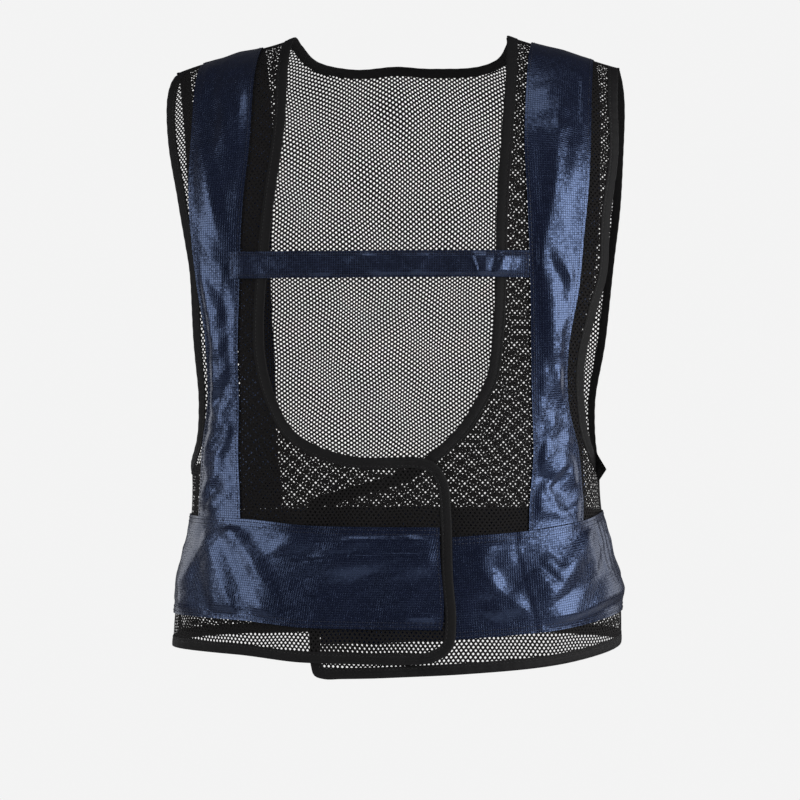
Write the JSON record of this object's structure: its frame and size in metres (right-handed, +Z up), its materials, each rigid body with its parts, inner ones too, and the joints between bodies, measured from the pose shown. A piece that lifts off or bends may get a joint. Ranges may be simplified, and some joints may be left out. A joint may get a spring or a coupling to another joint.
{
  "type": "cooling vest",
  "caption": "Sleeveless net vest with flat nylon air ducts over the shoulders, a waist air band, a chest strap and a lapped front.",
  "frame": {"origin": "midway between the shoulders, at the height where the vest rests on them", "axes": "+Z up, the front faces -Y, +X is the wearer's left"},
  "size_m": [0.421, 0.2606, 0.5857],
  "materials": {
    "net": "black warp-knit polyester net, matte",
    "tape": "black folded binding tape, matte",
    "nylon": "navy ripstop nylon, crinkled, satin sheen"
  },
  "bodies": {
    "root": {"net_front_right": "net", "net_front_left": "net", "net_back": "net", "edge_binding_right": "tape", "edge_binding_left": "tape", "neck_binding_back": "tape", "hem_binding_back": "tape", "armhole_binding_right": "tape", "armhole_binding_left": "tape", "shoulder_duct_right": "nylon", "shoulder_duct_left": "nylon", "waist_band_right": "nylon", "waist_band_left": "nylon", "waist_band_back": "nylon", "chest_strap": "nylon"}
  },
  "joints": []
}
